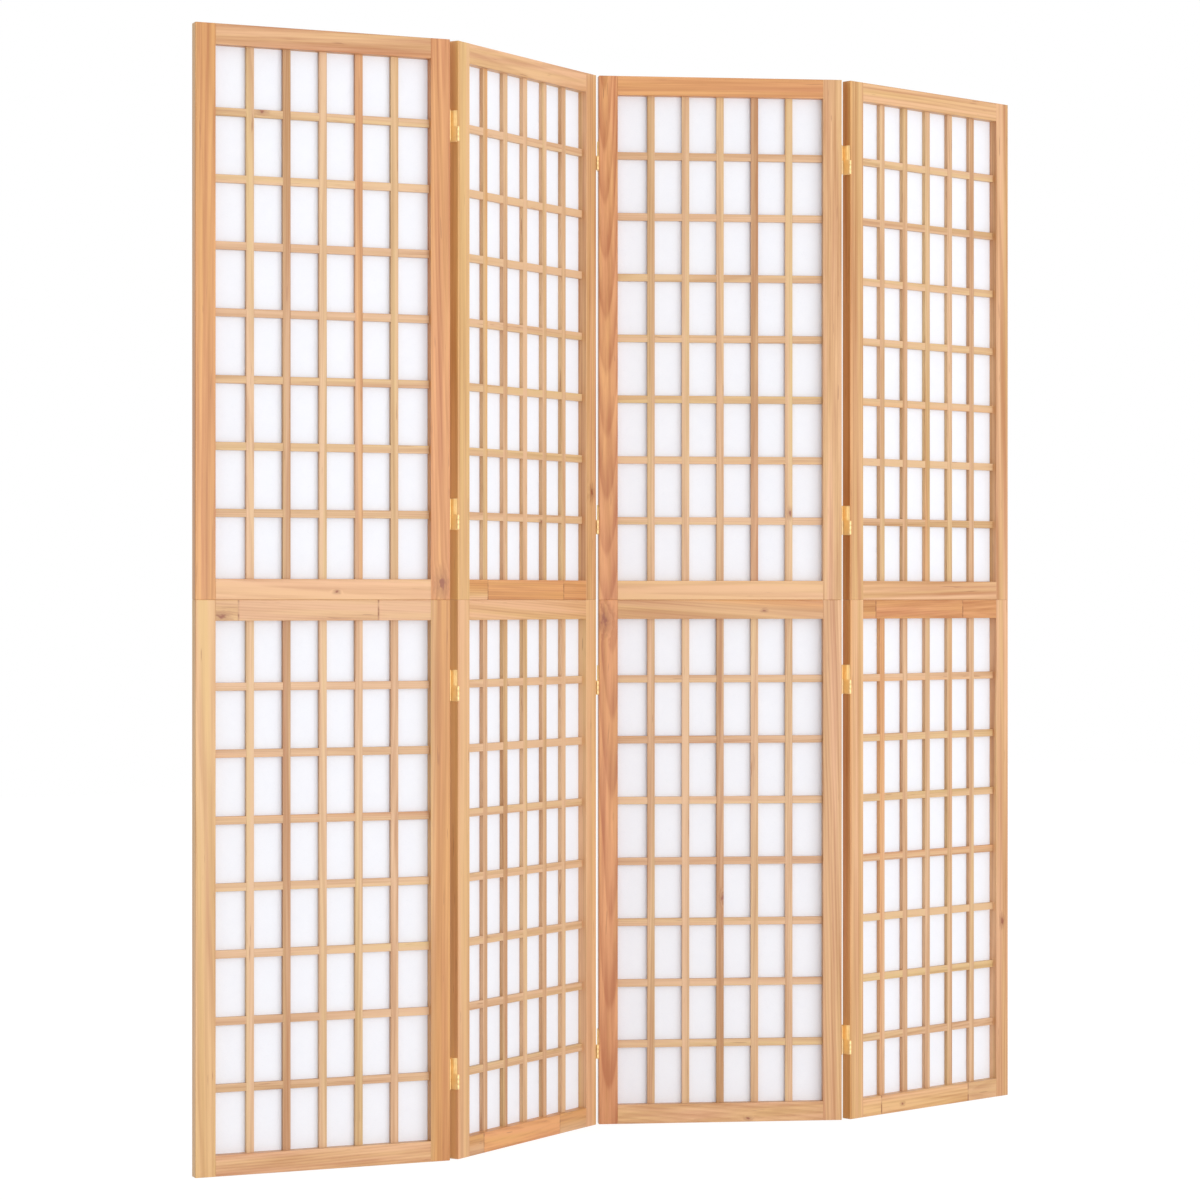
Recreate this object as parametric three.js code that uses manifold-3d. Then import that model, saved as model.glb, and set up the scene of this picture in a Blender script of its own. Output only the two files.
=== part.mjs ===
// A shoji folding screen of four panels, standing on the floor in a zigzag.
//
// Each panel is two framed halves, one standing on the other and held in line by two dowels.
// A half is a frame of two stiles and two rails, a lattice of thin strips set back in it, and
// a sheet of paper behind the lattice. Neighbouring panels are joined by four brass hinges that
// fold both ways: each hinge has a leaf on either panel and a link between them, with one barrel
// at the back of the panels and one at the front.
//
// Millimetres, +Z up. The lattice side faces -Y, and the screen runs along X from the outer edge
// of the first panel to the outer edge of the last. The origin is on the floor, at the middle of
// the screen's box.

import * as THREE from 'three';
import { mergeVertices } from 'three/addons/utils/BufferGeometryUtils.js';
import Module from 'manifold-3d';

// ---- Driving dimensions ----

// Panels and their frames.
const PANEL_WIDTH = 400;
const HALF_HEIGHT = 850;
const PANEL_THICKNESS = 18;
const STILE_WIDTH = 31;
const RAIL_HEIGHT = 31;

// The fold at each hinge line, in degrees: positive folds the backs of the two panels towards
// each other, about the back pins, and negative folds their fronts, about the front pins.
const FOLDS = [35.2, -51.8, 36.7];

// Lattice.
const CELLS_ACROSS = 6;
const CELLS_UP = 8;
const STRIP_WIDTH = 12;
const STRIP_DEPTH = 7;
const STRIP_LET_IN = 4; // how far the ends of the strips are let into the frame
const OUTER_CELL_EXTRA = 4.7; // a cell beside the frame is this much larger than the others

// Paper, in a rebate round the back of the frame's opening.
const REBATE_DEPTH = 3;
const PAPER_THICKNESS = 0.4;
const PAPER_MARGIN = 0.5; // how far the sheet reaches past the ends of the strips

// Dowels that hold the upper half in line with the lower.
const DOWEL_RADIUS = 4;
const DOWEL_REACH = 20; // how far a dowel goes into the lower half
const DOWEL_ROOT = 5; // how far its upper end is drawn into the upper half

// Hinges.
const HINGE_HEIGHT = 48;
const HINGE_INSET = 130; // from each end of a half to the middle of its nearer hinge
const PLATE_THICKNESS = 1;
const PIN_RADIUS = 1;
const PIN_PROUD = 1; // how far the pins stand beyond the panels' faces
const BARREL_MARGIN = 1; // from a barrel's ends to the end and the middle of its hinge
const LINK_SETBACK = 4; // where a link's plate has no barrel, it stops this far inside the panel
const SCREW_RADIUS = 1.25;
const SCREW_LENGTH = 14; // below the leaf
const SCREW_SPACING = 30;

// Clearances.
const SEAT_GAP = 0.3; // between pieces that are glued, screwed or stood on each other
const RUNNING_GAP = 0.4; // between pieces that turn past each other
const BORE_END_GAP = 1; // beyond the end of a screw or a dowel

// Facets of round pieces, and how far a cutting shape runs past what it cuts.
const KNUCKLE_SIDES = 10;
const PIN_SIDES = 8;
const DOWEL_SIDES = 12;
const CUT_PAST = 1;

// ---- Sizes that follow ----

const PANEL_COUNT = FOLDS.length + 1;
const PANEL_GAP = 3 * PLATE_THICKNESS + 2 * RUNNING_GAP + 2 * SEAT_GAP;
const UPPER_HALF_Z = HALF_HEIGHT + SEAT_GAP;
const OPENING_WIDTH = PANEL_WIDTH - 2 * STILE_WIDTH;
const OPENING_HEIGHT = HALF_HEIGHT - 2 * RAIL_HEIGHT;
// The strips' backs are level with the floor of the rebate, which leaves them set back in front.
const LATTICE_BACK = PANEL_THICKNESS - REBATE_DEPTH;
const LATTICE_FRONT = LATTICE_BACK - STRIP_DEPTH;
const PAPER_LAP = STRIP_LET_IN + PAPER_MARGIN;
const HINGE_HEIGHTS = [HINGE_INSET, HALF_HEIGHT - HINGE_INSET];

// ---- Materials ----

const wood = () => new THREE.MeshStandardMaterial({ color: 0xdcae80, roughness: 0.55, metalness: 0 });
const stripWood = () => new THREE.MeshStandardMaterial({ color: 0xe0b78c, roughness: 0.6, metalness: 0 });
const paper = () => new THREE.MeshStandardMaterial({ color: 0xf6f4fa, roughness: 0.9, metalness: 0 });
const brass = () => new THREE.MeshStandardMaterial({ color: 0xd9b365, roughness: 0.35, metalness: 1 });

// ---- Joining and cutting ----

const wasm = await Module();
wasm.setup();

/** The closed solid of a geometry, with the vertices that its faces share merged. */
function solid(geometry) {
  const bare = geometry.clone();
  bare.deleteAttribute('normal');
  bare.deleteAttribute('uv');
  const merged = mergeVertices(bare);
  const vertProperties = new Float32Array(merged.attributes.position.array);
  const triVerts = new Uint32Array(merged.index.array);
  return new wasm.Manifold(new wasm.Mesh({ numProp: 3, vertProperties, triVerts }));
}

/** The geometry of a solid, ready for a mesh. */
function geometryOf(body) {
  const { vertProperties, triVerts } = body.getMesh();
  const geometry = new THREE.BufferGeometry();
  geometry.setAttribute('position', new THREE.BufferAttribute(vertProperties, 3));
  geometry.setIndex(new THREE.BufferAttribute(triVerts, 1));
  geometry.computeVertexNormals();
  return geometry;
}

/** A block between two corners, each given as [x, y, z]. */
function block(low, high) {
  const [width, depth, height] = high.map((value, i) => value - low[i]);
  const geometry = new THREE.BoxGeometry(width, depth, height);
  geometry.translate((low[0] + high[0]) / 2, (low[1] + high[1]) / 2, (low[2] + high[2]) / 2);
  return solid(geometry);
}

/** An upright cylinder about (x, y), from z = low to z = high. */
function upright(x, y, radius, low, high, sides) {
  const geometry = new THREE.CylinderGeometry(radius, radius, high - low, sides);
  geometry.rotateX(Math.PI / 2);
  geometry.translate(x, y, (low + high) / 2);
  return solid(geometry);
}

/** A cylinder along X about (y, z), from x = low to x = high. */
function crosswise(y, z, radius, low, high) {
  const geometry = new THREE.CylinderGeometry(radius, radius, high - low, PIN_SIDES);
  geometry.rotateZ(Math.PI / 2);
  geometry.translate((low + high) / 2, y, z);
  return solid(geometry);
}

function mesh(name, geometry, material) {
  const piece = new THREE.Mesh(geometry, material);
  piece.name = name;
  return piece;
}

// ---- A half of a panel ----

/** Where each strip lies across an opening, as [start, end]: one between every two cells. */
function stripSpans(opening, cells) {
  const strips = cells - 1;
  const cell = (opening - strips * STRIP_WIDTH - 2 * OUTER_CELL_EXTRA) / cells;
  const spans = [];
  for (let i = 0; i < strips; i++) {
    const start = OUTER_CELL_EXTRA + (i + 1) * cell + i * STRIP_WIDTH;
    spans.push([start, start + STRIP_WIDTH]);
  }
  return spans;
}

/** Where each cell starts and ends. The outer cells run on past the ends of the strips. */
function cellSpans(opening, cells) {
  const past = STRIP_LET_IN + CUT_PAST;
  const edges = [-past, ...stripSpans(opening, cells).flat(), opening + past];
  const spans = [];
  for (let i = 0; i < edges.length; i += 2) {
    spans.push([edges[i], edges[i + 1]]);
  }
  return spans;
}

/** The lattice, from the lower left corner of the frame's opening: a board with its cells cut. */
function latticeGeometry() {
  const right = OPENING_WIDTH + STRIP_LET_IN;
  const top = OPENING_HEIGHT + STRIP_LET_IN;
  let lattice = block([-STRIP_LET_IN, 0, -STRIP_LET_IN], [right, STRIP_DEPTH, top]);
  for (const [left, cellRight] of cellSpans(OPENING_WIDTH, CELLS_ACROSS)) {
    for (const [bottom, cellTop] of cellSpans(OPENING_HEIGHT, CELLS_UP)) {
      const low = [left, -CUT_PAST, bottom];
      const high = [cellRight, STRIP_DEPTH + CUT_PAST, cellTop];
      lattice = lattice.subtract(block(low, high));
    }
  }
  return geometryOf(lattice);
}

/** The sheet of paper, from the lower left corner of the frame's opening. */
function paperGeometry() {
  const width = OPENING_WIDTH + 2 * PAPER_LAP;
  const height = OPENING_HEIGHT + 2 * PAPER_LAP;
  const geometry = new THREE.BoxGeometry(width, PAPER_THICKNESS, height);
  geometry.translate(OPENING_WIDTH / 2, PAPER_THICKNESS / 2, OPENING_HEIGHT / 2);
  return geometry;
}

/** Both dowels of a panel, thickened and lengthened by the given amounts. */
function dowels(extraRadius, extraReach, low, high) {
  const radius = DOWEL_RADIUS + extraRadius;
  const [left, right] = [STILE_WIDTH / 2, PANEL_WIDTH - STILE_WIDTH / 2].map((x) =>
    upright(x, PANEL_THICKNESS / 2, radius, low - extraReach, high, DOWEL_SIDES),
  );
  return left.add(right);
}

/** The frame without its dowels: stiles and rails, rebated behind for the paper. */
function bareFrame() {
  const left = STILE_WIDTH;
  const right = PANEL_WIDTH - STILE_WIDTH;
  const bottom = RAIL_HEIGHT;
  const top = HALF_HEIGHT - RAIL_HEIGHT;
  const lap = PAPER_LAP + SEAT_GAP;
  const back = PANEL_THICKNESS + CUT_PAST;
  const board = block([0, 0, 0], [PANEL_WIDTH, PANEL_THICKNESS, HALF_HEIGHT]);
  const opening = block([left, -CUT_PAST, bottom], [right, back, top]);
  const rebate = block([left - lap, LATTICE_BACK, bottom - lap], [right + lap, back, top + lap]);
  return board.subtract(opening).subtract(rebate);
}

/** Cuts the notches that the ends of the strips lie in. They open into the rebate behind. */
function notchForStrips(frame) {
  const reach = STRIP_LET_IN + SEAT_GAP;
  const front = LATTICE_FRONT - SEAT_GAP;
  const back = LATTICE_BACK + CUT_PAST;
  let notched = frame;
  for (const [start, end] of stripSpans(OPENING_WIDTH, CELLS_ACROSS)) {
    const left = STILE_WIDTH + start - SEAT_GAP;
    const right = STILE_WIDTH + end + SEAT_GAP;
    const top = HALF_HEIGHT - RAIL_HEIGHT + reach;
    notched = notched.subtract(block([left, front, RAIL_HEIGHT - reach], [right, back, top]));
  }
  for (const [start, end] of stripSpans(OPENING_HEIGHT, CELLS_UP)) {
    const bottom = RAIL_HEIGHT + start - SEAT_GAP;
    const top = RAIL_HEIGHT + end + SEAT_GAP;
    const right = PANEL_WIDTH - STILE_WIDTH + reach;
    notched = notched.subtract(block([STILE_WIDTH - reach, front, bottom], [right, back, top]));
  }
  return notched;
}

/** Cuts the holes for the screws of a half's hinges into one edge of its frame. */
function drillEdge(frame, edgeX, inwards) {
  const radius = SCREW_RADIUS + SEAT_GAP;
  const bottom = edgeX + inwards * (SCREW_LENGTH + BORE_END_GAP);
  const mouth = edgeX - inwards * CUT_PAST;
  const low = Math.min(bottom, mouth);
  const high = Math.max(bottom, mouth);
  let drilled = frame;
  for (const height of HINGE_HEIGHTS) {
    for (const side of [-1, 1]) {
      const z = height + (side * SCREW_SPACING) / 2;
      drilled = drilled.subtract(crosswise(PANEL_THICKNESS / 2, z, radius, low, high));
    }
  }
  return drilled;
}

/** The frame of one half, drilled on the edges that carry hinges. */
function frameGeometry(isUpper, hasLeftHinges, hasRightHinges) {
  let frame = notchForStrips(bareFrame());
  if (hasLeftHinges) frame = drillEdge(frame, 0, 1);
  if (hasRightHinges) frame = drillEdge(frame, PANEL_WIDTH, -1);
  if (isUpper) {
    const dowelEnd = -(SEAT_GAP + DOWEL_REACH);
    frame = frame.add(dowels(0, 0, dowelEnd, DOWEL_ROOT));
  } else {
    const holeEnd = HALF_HEIGHT - DOWEL_REACH;
    frame = frame.subtract(dowels(SEAT_GAP, BORE_END_GAP, holeEnd, HALF_HEIGHT + CUT_PAST));
  }
  return geometryOf(frame);
}

/** One half of a panel, from its lower left front corner. */
function makeHalf(name, isUpper, hasLeftHinges, hasRightHinges) {
  const half = new THREE.Group();
  const frame = mesh(`${name}_frame`, frameGeometry(isUpper, hasLeftHinges, hasRightHinges), wood());
  const lattice = mesh(`${name}_lattice`, latticeGeometry(), stripWood());
  lattice.position.set(STILE_WIDTH, LATTICE_FRONT, RAIL_HEIGHT);
  const sheet = mesh(`${name}_paper`, paperGeometry(), paper());
  sheet.position.set(STILE_WIDTH, LATTICE_BACK + SEAT_GAP, RAIL_HEIGHT);
  half.add(frame, lattice, sheet);
  return half;
}

// ---- Hinges ----
//
// A hinge is drawn in its own frame: x = 0 is the edge of the left panel and x = PANEL_GAP that
// of the right one, y = 0 is the panels' front face, and z = 0 is the hinge's middle. Its back
// barrel is in its upper half and joins the left leaf to the link, and its front barrel is in
// its lower half and joins the link to the right leaf.

const BACK_PIN_Y = PANEL_THICKNESS + PIN_PROUD;
const FRONT_PIN_Y = -PIN_PROUD;
const PIN_X = PANEL_GAP / 2;
const LEFT_PLATE_X = SEAT_GAP;
const LINK_PLATE_X = LEFT_PLATE_X + PLATE_THICKNESS + RUNNING_GAP;
const RIGHT_PLATE_X = LINK_PLATE_X + PLATE_THICKNESS + RUNNING_GAP;
const HALF_HINGE = HINGE_HEIGHT / 2;
const BARREL_LENGTH = HALF_HINGE - 2 * BARREL_MARGIN;
const KNUCKLE_LENGTH = (BARREL_LENGTH - 2 * RUNNING_GAP) / 3;
// A barrel is as thick as the corners of the two panels leave room for, at every fold.
const KNUCKLE_RADIUS = Math.hypot(PIN_X, PIN_PROUD) - SEAT_GAP;
// Every plate stops short of the other pieces' knuckles at both barrels.
const PLATE_BACK_Y = BACK_PIN_Y - KNUCKLE_RADIUS - RUNNING_GAP;
const PLATE_FRONT_Y = FRONT_PIN_Y + KNUCKLE_RADIUS + RUNNING_GAP;

// Each barrel: where its pins are, where it starts, and how far into the plate its tabs run.
const BACK_BARREL = { pinY: BACK_PIN_Y, start: BARREL_MARGIN, rootY: PLATE_BACK_Y - CUT_PAST };
const FRONT_BARREL = {
  pinY: FRONT_PIN_Y,
  start: -BARREL_MARGIN - BARREL_LENGTH,
  rootY: PLATE_FRONT_Y + CUT_PAST,
};

/** A piece of plate, as thick as the sheet, from x = left. */
function plate(left, front, back, low, high) {
  return block([left, front, low], [left + PLATE_THICKNESS, back, high]);
}

/** Where one of a barrel's three knuckles starts, counted from below. */
function knuckleStart(barrel, index) {
  return barrel.start + index * (KNUCKLE_LENGTH + RUNNING_GAP);
}

/** One knuckle with the tab of plate that it is rolled from. */
function knuckle(plateX, barrel, index) {
  const start = knuckleStart(barrel, index);
  const end = start + KNUCKLE_LENGTH;
  const tabFront = Math.min(barrel.pinY, barrel.rootY);
  const tabBack = Math.max(barrel.pinY, barrel.rootY);
  const roll = upright(PIN_X, barrel.pinY, KNUCKLE_RADIUS, start, end, KNUCKLE_SIDES);
  return roll.add(plate(plateX, tabFront, tabBack, start, end));
}

/** A leaf with its two outer knuckles, the pin pressed into them, and its two screws. */
function leafGeometry(plateX, barrel, screwTip) {
  let leaf = plate(plateX, PLATE_FRONT_Y, PLATE_BACK_Y, -HALF_HINGE, HALF_HINGE);
  for (const index of [0, 2]) {
    leaf = leaf.add(knuckle(plateX, barrel, index));
  }
  const pinLow = barrel.start + KNUCKLE_LENGTH / 2;
  const pinHigh = barrel.start + BARREL_LENGTH - KNUCKLE_LENGTH / 2;
  leaf = leaf.add(upright(PIN_X, barrel.pinY, PIN_RADIUS, pinLow, pinHigh, PIN_SIDES));
  const screwHead = plateX + PLATE_THICKNESS / 2;
  const screwLow = Math.min(screwHead, screwTip);
  const screwHigh = Math.max(screwHead, screwTip);
  for (const side of [-1, 1]) {
    const z = (side * SCREW_SPACING) / 2;
    leaf = leaf.add(crosswise(PANEL_THICKNESS / 2, z, SCREW_RADIUS, screwLow, screwHigh));
  }
  return geometryOf(leaf);
}

/** The link, which has the middle knuckle of both barrels, bored for the pins. */
function linkGeometry() {
  const upper = plate(LINK_PLATE_X, LINK_SETBACK, PLATE_BACK_Y, 0, HALF_HINGE);
  const lowerBack = PANEL_THICKNESS - LINK_SETBACK;
  let link = upper.add(plate(LINK_PLATE_X, PLATE_FRONT_Y, lowerBack, -HALF_HINGE, 0));
  for (const barrel of [BACK_BARREL, FRONT_BARREL]) {
    const low = knuckleStart(barrel, 1) - CUT_PAST;
    const high = knuckleStart(barrel, 2) + CUT_PAST;
    link = link.add(knuckle(LINK_PLATE_X, barrel, 1));
    link = link.subtract(upright(PIN_X, barrel.pinY, PIN_RADIUS + RUNNING_GAP, low, high, PIN_SIDES));
  }
  return geometryOf(link);
}

const leftLeaf = leafGeometry(LEFT_PLATE_X, BACK_BARREL, -SCREW_LENGTH);
const rightLeaf = leafGeometry(RIGHT_PLATE_X, FRONT_BARREL, PANEL_GAP + SCREW_LENGTH);
const link = linkGeometry();

/** The heights of the four hinges on a line, from the top of the screen down. */
function hingeHeights() {
  const upper = HINGE_HEIGHTS.map((height) => UPPER_HALF_Z + height);
  return [...HINGE_HEIGHTS, ...upper].sort((a, b) => b - a);
}

/** Adds one piece of each hinge on a line to what carries it, with the hinge frame at (x, y). */
function addHingePieces(carrier, line, pieceName, geometry, x, y) {
  hingeHeights().forEach((height, index) => {
    const piece = mesh(`hinge_${line}_${index + 1}_${pieceName}`, geometry, brass());
    piece.position.set(x, y, height);
    carrier.add(piece);
  });
}

// ---- The screen ----

/** A panel from its lower left front corner, with the hinge leaves that are screwed to it. */
function makePanel(number) {
  const panel = new THREE.Group();
  const hasLeftHinges = number > 1;
  const hasRightHinges = number < PANEL_COUNT;
  const lower = makeHalf(`panel_${number}_lower`, false, hasLeftHinges, hasRightHinges);
  const upper = makeHalf(`panel_${number}_upper`, true, hasLeftHinges, hasRightHinges);
  upper.position.z = UPPER_HALF_Z;
  panel.add(upper, lower);
  if (hasLeftHinges) {
    addHingePieces(panel, `${number - 1}${number}`, 'right_leaf', rightLeaf, -PANEL_GAP, 0);
  }
  if (hasRightHinges) {
    addHingePieces(panel, `${number}${number + 1}`, 'left_leaf', leftLeaf, PANEL_WIDTH, 0);
  }
  return panel;
}

/** The links of one hinge line, in a group that turns about the line's back pins. */
function makeLinks(line, fold) {
  const links = new THREE.Group();
  links.name = `back_pins_${line}`;
  links.position.set(PANEL_WIDTH + PIN_X, BACK_PIN_Y, 0);
  links.rotation.z = THREE.MathUtils.degToRad(Math.max(fold, 0));
  addHingePieces(links, line, 'link', link, -PIN_X, -BACK_PIN_Y);
  return links;
}

/** Stands a panel in a group that turns about the front pins of the hinge line on its left. */
function hangOnFrontPins(panel, line, fold) {
  const turning = new THREE.Group();
  turning.name = `front_pins_${line}`;
  turning.position.set(0, FRONT_PIN_Y - BACK_PIN_Y, 0);
  turning.rotation.z = THREE.MathUtils.degToRad(Math.min(fold, 0));
  panel.position.set(PANEL_GAP - PIN_X, -FRONT_PIN_Y, 0);
  turning.add(panel);
  return turning;
}

const firstPanel = makePanel(1);
let lastPanel = firstPanel;
FOLDS.forEach((fold, index) => {
  const line = `${index + 1}${index + 2}`;
  const links = makeLinks(line, fold);
  const nextPanel = makePanel(index + 2);
  links.add(hangOnFrontPins(nextPanel, line, fold));
  lastPanel.add(links);
  lastPanel = nextPanel;
});

const screen = new THREE.Group();
screen.add(firstPanel);

// Turn the screen until its two outer edges lie along X, and centre its box on the origin.
screen.updateMatrixWorld(true);
const outerEdge = lastPanel.localToWorld(new THREE.Vector3(PANEL_WIDTH, 0, 0));
screen.rotation.z = -Math.atan2(outerEdge.y, outerEdge.x);
screen.updateMatrixWorld(true);
const box = new THREE.Box3().setFromObject(screen, true);
screen.position.set(-(box.min.x + box.max.x) / 2, -(box.min.y + box.max.y) / 2, -box.min.z);

export default screen;
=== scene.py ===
# %% [markdown]
# # A folding screen of wood lattice and paper
#
# The real thing is a free-standing divider of four tall panels. Each panel is an upper and a lower
# framed half. A frame carries a lattice of thin strips with white paper glued behind it, and brass
# hinges join the panels so that they fold both ways.
#
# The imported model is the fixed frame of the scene. It brings the bodies that move, and everything
# that is seen is made here around it, stick by stick, as a joiner would make it.

import bmesh
import bpy
import numpy as np
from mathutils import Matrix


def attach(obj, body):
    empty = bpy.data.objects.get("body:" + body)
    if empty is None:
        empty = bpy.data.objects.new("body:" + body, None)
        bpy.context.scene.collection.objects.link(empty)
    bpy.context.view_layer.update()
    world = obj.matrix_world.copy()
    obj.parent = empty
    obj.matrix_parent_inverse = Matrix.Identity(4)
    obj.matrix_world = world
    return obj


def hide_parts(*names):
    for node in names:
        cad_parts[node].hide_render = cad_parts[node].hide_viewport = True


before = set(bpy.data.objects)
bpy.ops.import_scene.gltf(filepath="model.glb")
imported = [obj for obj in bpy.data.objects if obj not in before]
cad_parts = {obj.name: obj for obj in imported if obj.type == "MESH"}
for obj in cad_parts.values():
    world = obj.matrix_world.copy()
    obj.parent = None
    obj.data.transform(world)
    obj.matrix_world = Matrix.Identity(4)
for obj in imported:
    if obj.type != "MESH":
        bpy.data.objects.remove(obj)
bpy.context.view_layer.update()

# %% [markdown]
# ## The camera
#
# The photograph was taken at half the screen's height, from well to the left of its middle, with a
# fairly long lens: the upright edges stay parallel, which means the camera wasn't tilted. The place
# and the focal length come from a fit of the panels' corners. The lens is given for a 36 mm sensor.

# %% Camera
def shown(name, data):
    """An object that shows a mesh, a lamp or a camera in the scene."""
    made = bpy.data.objects.new(name, data)
    bpy.context.scene.collection.objects.link(made)
    return made


CAMERA_PLACE = (-2.976, -4.523, 0.850)
CAMERA_HEADING = -32.93  # degrees about the upright axis, from looking along +Y
LENS_MM = 101.5

camera_data = bpy.data.cameras.new("camera")
camera_data.sensor_width = 36
camera_data.lens = LENS_MM
camera_data.clip_end = 60
camera = shown("camera", camera_data)
camera.location = CAMERA_PLACE
camera.rotation_euler = (np.pi / 2, 0, np.radians(CAMERA_HEADING))
bpy.context.scene.camera = camera
print("camera at", CAMERA_PLACE, "with a lens of", LENS_MM, "mm")

# %% [markdown]
# ## Sizes
#
# These are the CAD part's own measures, in millimetres, so that every stick lands where the packed
# model has it. A panel's own axes are x across it, y from its front to its back, and z up. Each
# panel stands at its own corner and its own angle, which is what makes the zigzag.

# %% Sizes and places
MM = 0.001
PANEL_WIDTH, PANEL_THICKNESS = 400.0, 18.0
HALF_HEIGHT, UPPER_HALF_Z = 850.0, 850.3
FRAME_WIDTH = 31.0  # of stiles and rails alike
LATTICE_FRONT, LATTICE_BACK = 8.0, 15.0
STRIP_WIDTH, STRIP_LET_IN = 12.0, 4.0
REBATE_LAP = 4.8  # how far the rebate for the paper is cut into the frame, all round
OUTER_CELL_EXTRA = 4.7  # how much wider or higher the cells along the frame are

# Each panel's front left bottom corner, and how far it is turned about the upright axis.
PANEL_PLACES = {
    1: (-771.845, -25.774, -9.68803),
    2: (-362.015, -90.929, 25.51197),
    3: (3.815, 81.318, -26.28803),
    4: (378.431, -98.064, 10.41197),
}
# The height at which each half starts, and how its heights are stretched: the lower half grows by
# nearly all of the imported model's 0.3 mm of clearance, so that no light comes in between them.
GROWN = 0.28
HALVES = {"lower": (0.0, 1 + GROWN / HALF_HEIGHT), "upper": (UPPER_HALF_Z, 1.0)}
HALF_PANELS = [(number, half) for number in PANEL_PLACES for half in HALVES]


def turned(points, x, y, degrees, z=0.0, stretch=1.0):
    """Points in millimetres, turned about the upright axis and then moved to (x, y, z), in metres.
    Heights are first multiplied by stretch."""
    c, s = np.cos(np.radians(degrees)), np.sin(np.radians(degrees))
    turn = np.array([[c, s, 0], [-s, c, 0], [0, 0, stretch]])
    return (points @ turn + (x, y, z)) * MM


def strip_spans(opening, cells):
    """Where the strips lie across an opening: one between every two cells, which are all of one
    size but for the outer two."""
    cell = (opening - (cells - 1) * STRIP_WIDTH - 2 * OUTER_CELL_EXTRA) / cells
    start = OUTER_CELL_EXTRA + cell + np.arange(cells - 1) * (cell + STRIP_WIDTH)
    return np.stack([start, start + STRIP_WIDTH], axis=1)


OPENING_WIDTH = PANEL_WIDTH - 2 * FRAME_WIDTH
OPENING_HEIGHT = HALF_HEIGHT - 2 * FRAME_WIDTH
UPRIGHT_SPANS = strip_spans(OPENING_WIDTH, 6)
LEVEL_SPANS = strip_spans(OPENING_HEIGHT, 8)
print(len(UPRIGHT_SPANS), "upright and", len(LEVEL_SPANS), "level strips in each half")

# %% [markdown]
# ## Putting a shape into a mesh
#
# Every stick is a closed section carried along its length: at each station the section may be a
# little different, and neighbouring sections are joined by a band of four-sided faces. Two
# stations at one place make a sharp step, such as the side of a notch. Where a step leaves some
# points where they were, the doubled points are merged and the empty faces between them go.

# %% From rings to a closed mesh
open_edges, pieces = 0, []


def skin(rings):
    """Joins rings of points, shaped (stations, points, 3), into the faces of a closed skin.
    Face (i, j) has corners (i, j), (i, j+1), (i+1, j+1) and (i+1, j), and j runs round the ring.
    The first and the last ring are closed by one flat face each."""
    stations, count = rings.shape[:2]
    index = np.arange(stations * count).reshape(stations, count)
    here, after = index[:-1], index[1:]
    bands = np.stack([here, np.roll(here, -1, 1), np.roll(after, -1, 1), after], -1)
    return bands.reshape(-1, 4).tolist() + [index[0, ::-1].tolist(), index[-1].tolist()]


def new_mesh(name, points, faces, facts=None, smooth=False, closed=True):
    """A mesh of points in metres with a vector attribute for each fact, doubles merged."""
    global open_edges
    mesh = bpy.data.meshes.new(name)
    mesh.from_pydata(points.reshape(-1, 3).tolist(), [], faces)
    for key, values in (facts or {}).items():
        attribute = mesh.attributes.new(key, "FLOAT_VECTOR", "POINT")
        attribute.data.foreach_set("vector", values.astype(np.float32).ravel())
    work = bmesh.new()
    work.from_mesh(mesh)
    bmesh.ops.remove_doubles(work, verts=work.verts, dist=1e-6)
    work.to_mesh(mesh)
    work.free()
    mesh.polygons.foreach_set("use_smooth", np.full(len(mesh.polygons), smooth))
    if closed:
        edge_of_corner = np.zeros(len(mesh.loops), np.int32)
        mesh.loops.foreach_get("edge_index", edge_of_corner)
        open_edges += int((np.bincount(edge_of_corner) != 2).sum())
    return mesh


def put(mesh, body, material, stands_for):
    """Shows a mesh as a piece that rides on a body and stands for a CAD node."""
    piece = shown(mesh.name, mesh)
    mesh.materials.append(material)
    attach(piece, body)
    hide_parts(stands_for)
    pieces.append(piece)
    return piece


print("ready to skin rings of points")

# %% [markdown]
# ## One helper for nodes, and colours
#
# A material is a small tree of nodes. One function adds a node, sets its options and fills or links
# its inputs, whatever kind of node it is. Colours are written as the hex values that one would read
# off a picture, and one function turns them into the linear values that light is reckoned in.

# %% Node helper and colours
def add(tree, kind, inputs=(), operation=None, **options):
    """Adds a node of a kind, written without its ShaderNode. operation and options are its own
    settings. inputs fills its sockets, a list in their order and a dictionary by name or number.
    Each gets a value, or is linked to another node's output, or to a node, which means the first
    of its outputs that is in use."""
    made = tree.nodes.new("ShaderNode" + kind)
    if operation:
        made.operation = operation
    for key, value in options.items():
        setattr(made, key, value)
    for key, value in inputs.items() if isinstance(inputs, dict) else enumerate(inputs):
        if isinstance(value, bpy.types.Node):
            value = next(out for out in value.outputs if not out.is_unavailable)
        if isinstance(value, bpy.types.NodeSocket):
            tree.links.new(value, made.inputs[key])
        else:
            made.inputs[key].default_value = value
    return made


def linear(hex_colour):
    """The linear RGBA of an sRGB colour written as six hex digits: each channel c becomes
    c / 12.92 up to 0.04045, and ((c + 0.055) / 1.055) to the power 2.4 above it."""
    c = np.array([int(hex_colour[i : i + 2], 16) for i in (0, 2, 4)]) / 255
    lit = np.where(c <= 0.04045, c / 12.92, ((c + 0.055) / 1.055) ** 2.4)
    return (*lit.tolist(), 1.0)


def new_material(name):
    """An empty material with its output, and the tree to fill."""
    material = bpy.data.materials.new(name)
    material.use_nodes = True
    material.node_tree.nodes.clear()
    return material, material.node_tree


print("linear value of mid grey 808080:", round(linear("808080")[0], 4))

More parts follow.
